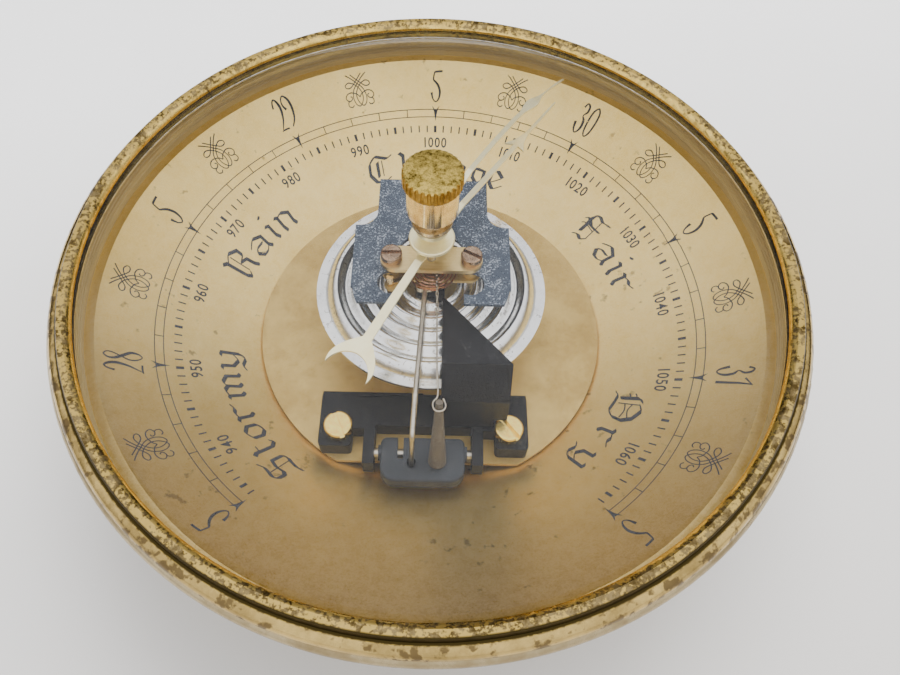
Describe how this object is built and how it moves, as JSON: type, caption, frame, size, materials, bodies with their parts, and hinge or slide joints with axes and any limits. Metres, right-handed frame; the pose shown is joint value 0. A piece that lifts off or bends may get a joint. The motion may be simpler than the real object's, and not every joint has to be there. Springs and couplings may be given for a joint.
{
  "type": "aneroid barometer",
  "caption": "Round dial barometer with an open-centre dished dial over its capsule movement, a chain-driven pointer and a reading hand set by a knob on the domed glass.",
  "frame": {"origin": "centre of the case's flat back, on the dial axis", "axes": "+Z along the dial axis out through the glass, +Y towards the top of the dial, +X to the right of the dial"},
  "size_m": [0.1272, 0.1272, 0.0556],
  "materials": {
    "case_brass": "aged satin brass",
    "cover_brass": "satin brass sheet",
    "bezel_brass": "turned brass, spotted and tarnished",
    "glass": "clear domed glass",
    "gasket_black": "matte black",
    "ring_silver": "bright wire",
    "ring_beige": "fine turned beige lacquer",
    "dial_gilt": "fine-grained champagne gilt satin",
    "plate_brass": "fine-grained brass",
    "strap_brass": "satin brass",
    "bracket_black": "satin black moulding",
    "screw_brass": "bright yellow brass",
    "screw_dark": "coppery, darkened",
    "steel": "drawn steel",
    "leaf_black": "blackened spring steel",
    "capsule_silver": "bright corrugated skin",
    "stem_brass": "turned brass",
    "plate_blue": "slate-blue satin steel",
    "rocker_grey": "dark grey moulding",
    "post_brown": "grey-brown moulding",
    "chain_steel": "fine steel links",
    "drum_brass": "turned brass",
    "hairspring_copper": "bronze strip",
    "pointer_cream": "pale gilt, polished",
    "hand_brass": "polished brass",
    "knob_brass": "knurled, grainy brass",
    "bush_brass": "turned brass"
  },
  "bodies": {
    "case": {"case_drum": "case_brass", "rear_cover": "cover_brass", "bezel": "bezel_brass", "glass": "glass", "glass_gasket": "gasket_black", "snap_ring": "ring_silver", "spacer_ring": "ring_beige", "dial": "dial_gilt", "base_plate": "plate_brass", "pillars": "plate_brass", "bridge_pillars": "plate_brass", "lower_bridge": "plate_brass", "strap": "strap_brass", "bracket": "bracket_black", "bracket_screws": "screw_brass", "bracket_nuts": "screw_brass", "back_screws": "screw_brass", "strap_screws": "screw_dark", "leg_screws": "screw_dark", "rocker_axle": "steel", "leaf_spring": "leaf_black", "capsule_upper": "capsule_silver", "capsule_lower": "capsule_silver", "capsule_post": "stem_brass", "top_plate": "plate_blue", "spring_stud": "drum_brass", "hairspring": "hairspring_copper", "glass_bush": "bush_brass", "glass_washer": "bush_brass", "bush_nut": "bush_brass"},
    "capsule_stem": {"capsule_stem": "stem_brass", "lever_clamp": "stem_brass", "lever_wire": "steel"},
    "rocker": {"rocker": "rocker_grey", "rocker_post": "post_brown"},
    "chain": {"fusee_chain": "chain_steel", "link_wire": "steel"},
    "pointer": {"arbor": "steel", "chain_drum": "drum_brass", "collet": "drum_brass", "pointer": "pointer_cream", "pointer_hub": "pointer_cream"},
    "set_hand": {"knob": "knob_brass", "knob_stem": "knob_brass", "set_hand_hub": "hand_brass", "set_hand": "hand_brass"},
    "adjuster": {"adjusting_screw": "stem_brass"}
  },
  "joints": [
    {"name": "pointer_turn", "type": "hinge", "parent": "case", "child": "pointer", "pos_m": [0, 0, 0.0331], "axis": [0, 0, -1], "range_deg": [-173, 112], "stiffness_Nm_per_rad": 0.002, "deforming": ["hairspring"]},
    {"name": "chain_pull", "type": "slide", "parent": "case", "child": "chain", "axis": [0, -1, 0], "range_m": [-0.0026, 0.0017]},
    {"name": "rocker_tilt", "type": "hinge", "parent": "case", "child": "rocker", "pos_m": [-0.0007, -0.0274, 0.0153], "axis": [1, 0, 0], "range_deg": [-9, 6]},
    {"name": "capsule_travel", "type": "slide", "parent": "case", "child": "capsule_stem", "axis": [0, 0, -1], "range_m": [-0.00036, 0.00024], "deforming": ["capsule_upper", "leaf_spring"]},
    {"name": "set_hand_turn", "type": "hinge", "parent": "case", "child": "set_hand", "pos_m": [0, 0, 0.045], "axis": [0, 0, -1], "continuous": true},
    {"name": "adjuster_turn", "type": "hinge", "parent": "case", "child": "adjuster", "pos_m": [0, 0, 0.01], "axis": [0, 0, 1], "range_deg": [-180, 180]}
  ],
  "couplings": [
    {"joint": "chain_pull", "follows": "pointer_turn", "m_per_rad": 0.0008},
    {"joint": "rocker_tilt", "follows": "pointer_turn", "ratio": 0.0492},
    {"joint": "capsule_travel", "follows": "pointer_turn", "m_per_rad": 0.000113}
  ]
}
